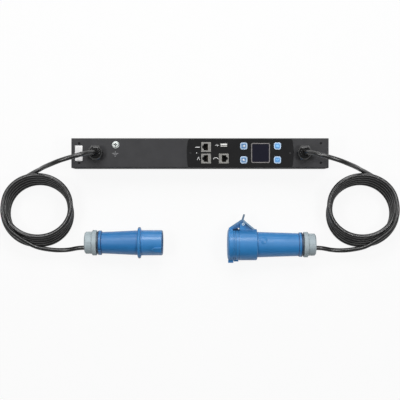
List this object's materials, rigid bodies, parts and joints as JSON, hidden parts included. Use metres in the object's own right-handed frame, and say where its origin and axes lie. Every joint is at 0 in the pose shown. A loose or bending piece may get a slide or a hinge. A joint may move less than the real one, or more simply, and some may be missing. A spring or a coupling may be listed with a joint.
{
  "type": "rack power distribution unit",
  "caption": "Slim metered rack power unit with a display module, an industrial input plug and an output connector, each on a coiled cord from a gland in the front face.",
  "frame": {"origin": "centre of the case's flat rear face, on which the unit lies", "axes": "+X along the case from the input gland to the output gland, +Z out of the front face, +Y across the case"},
  "size_m": [0.7172, 0.2171, 0.1114],
  "materials": {
    "case_paint": "satin powder coat",
    "cap_plastic": "satin",
    "screw_steel": "black zinc",
    "zinc_steel": "bright zinc",
    "gland_plastic": "matte",
    "seal_rubber": "matte",
    "bezel_plastic": "fine matte texture",
    "board_laminate": "lacquered",
    "jack_metal": "plated shell",
    "display_rim": "satin",
    "display_glass": "polished",
    "panel_plastic": "matte",
    "button_blue": "satin with a pale rim",
    "wire_brown": "satin",
    "wire_blue": "satin",
    "wire_green": "satin, green and yellow",
    "cord_black": "satin sheath",
    "socket_blue": "satin",
    "insert_plastic": "matte",
    "nut_grey": "satin",
    "contact_brass": "nickel plated"
  },
  "bodies": {
    "unit": {"board_standoffs": "zinc_steel", "button_switches": "panel_plastic", "case_screws": "screw_steel", "connector_cable_seal": "seal_rubber", "connector_clamp_nut": "nut_grey", "connector_contacts": "contact_brass", "connector_handle": "socket_blue", "connector_housing": "socket_blue", "connector_insert": "insert_plastic", "current_transformer": "panel_plastic", "display_frame": "display_rim", "display_panel": "panel_plastic", "display_window": "display_glass", "earth_conductor": "wire_green", "earth_nut": "zinc_steel", "earth_screw": "zinc_steel", "earth_washer": "zinc_steel", "end_cap_left": "cap_plastic", "end_cap_right": "cap_plastic", "front_channel": "case_paint", "gland_body_left": "gland_plastic", "gland_body_right": "gland_plastic", "gland_locknuts": "gland_plastic", "gland_nut_left": "gland_plastic", "gland_nut_right": "gland_plastic", "gland_seals": "seal_rubber", "input_cord_coil": "cord_black", "input_cord_lead": "cord_black", "input_cord_tail": "cord_black", "lid_hinge_pin": "zinc_steel", "lid_spring": "zinc_steel", "line_conductor": "wire_brown", "metering_board": "board_laminate", "module_bezel": "bezel_plastic", "module_board": "board_laminate", "module_housing": "bezel_plastic", "module_screws": "screw_steel", "mounting_inserts": "zinc_steel", "network_jack_lower": "jack_metal", "network_jack_upper": "jack_metal", "neutral_conductor": "wire_blue", "output_cord_coil": "cord_black", "output_cord_lead": "cord_black", "output_cord_tail": "cord_black", "plug_cable_seal": "seal_rubber", "plug_clamp_nut": "nut_grey", "plug_collar": "socket_blue", "plug_handle": "socket_blue", "plug_insert": "insert_plastic", "plug_pins": "contact_brass", "plug_shroud": "socket_blue", "rear_cover": "case_paint", "sensor_jack": "jack_metal", "usb_port": "jack_metal"},
    "lid": {"connector_lid": "socket_blue", "lid_gasket": "seal_rubber"},
    "key_lower_left": {"button_lower_left": "button_blue"},
    "key_lower_right": {"button_lower_right": "button_blue"},
    "key_upper_left": {"button_upper_left": "button_blue"},
    "key_upper_right": {"button_upper_right": "button_blue"}
  },
  "joints": [
    {"name": "button_lower_left_press", "type": "slide", "parent": "unit", "child": "key_lower_left", "axis": [0, 0, -1], "range_m": [0, 0.0008], "stiffness_N_per_m": 300, "springref_m": -0.0012},
    {"name": "button_lower_right_press", "type": "slide", "parent": "unit", "child": "key_lower_right", "axis": [0, 0, -1], "range_m": [0, 0.0008], "stiffness_N_per_m": 300, "springref_m": -0.0012},
    {"name": "button_upper_left_press", "type": "slide", "parent": "unit", "child": "key_upper_left", "axis": [0, 0, -1], "range_m": [0, 0.0008], "stiffness_N_per_m": 300, "springref_m": -0.0012},
    {"name": "button_upper_right_press", "type": "slide", "parent": "unit", "child": "key_upper_right", "axis": [0, 0, -1], "range_m": [0, 0.0008], "stiffness_N_per_m": 300, "springref_m": -0.0012},
    {"name": "lid_hinge", "type": "hinge", "parent": "unit", "child": "lid", "pos_m": [0.0755, -0.1234, 0.0285], "axis": [0, 0, -1], "range_deg": [0, 100], "stiffness_Nm_per_rad": 0.06, "springref_deg": -91.67}
  ]
}
